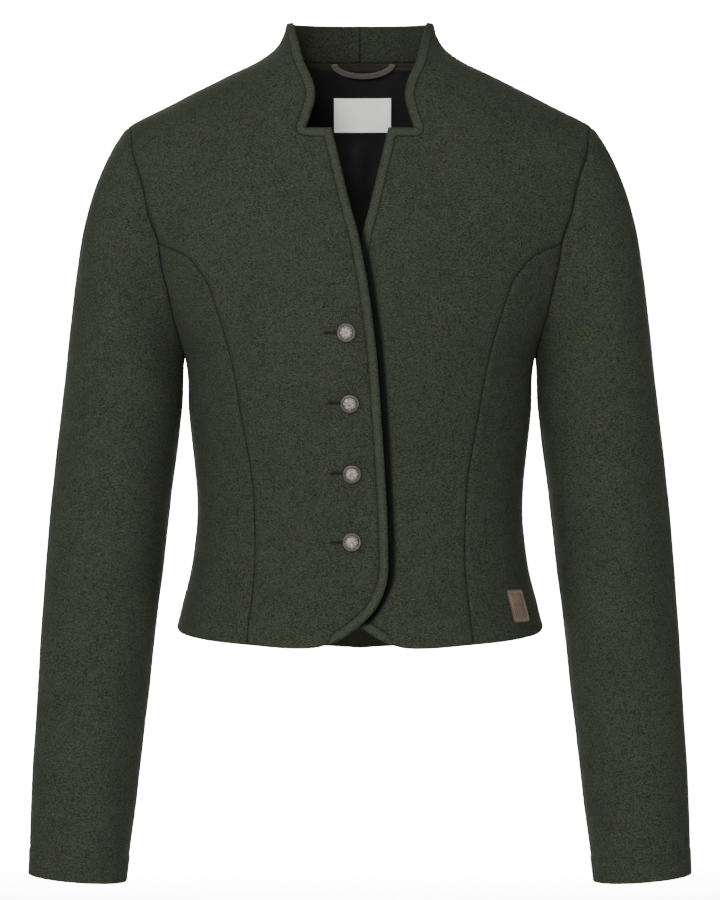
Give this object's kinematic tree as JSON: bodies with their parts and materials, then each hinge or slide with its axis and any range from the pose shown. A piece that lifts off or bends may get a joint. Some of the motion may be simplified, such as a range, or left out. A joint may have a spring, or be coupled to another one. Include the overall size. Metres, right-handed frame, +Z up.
{
  "type": "short boiled-wool jacket",
  "caption": "Short fitted women's wool jacket with a grown-on stand collar, V neck, curved bust seams, long sleeves and domed shank buttons, filled out as worn.",
  "frame": {"origin": "mid-plane of the jacket, between the points where the shoulder seams meet the neck, which is where the wearer's shoulders hold it up", "axes": "+X towards the wearer's left, -Y out of the front, +Z up"},
  "size_m": [0.554, 0.2396, 0.7264],
  "materials": {
    "wool": "boiled wool, dark olive melange, matt with a short nap",
    "lining": "near-black woven lining with a soft sheen",
    "tape": "grey-brown woven tape",
    "label": "off-white woven label",
    "leather": "brown leather, matt",
    "pewter": "antique pewter"
  },
  "bodies": {
    "root": {"front_right": "wool", "front_left": "wool", "side_front_right": "wool", "side_front_left": "wool", "back_right": "wool", "back_left": "wool", "sleeve_right": "wool", "sleeve_left": "wool", "back_lining": "lining", "hanger_loop": "tape", "neck_label": "label", "hem_patch": "leather", "button_1": "pewter", "button_2": "pewter", "button_3": "pewter", "button_4": "pewter"}
  },
  "joints": []
}
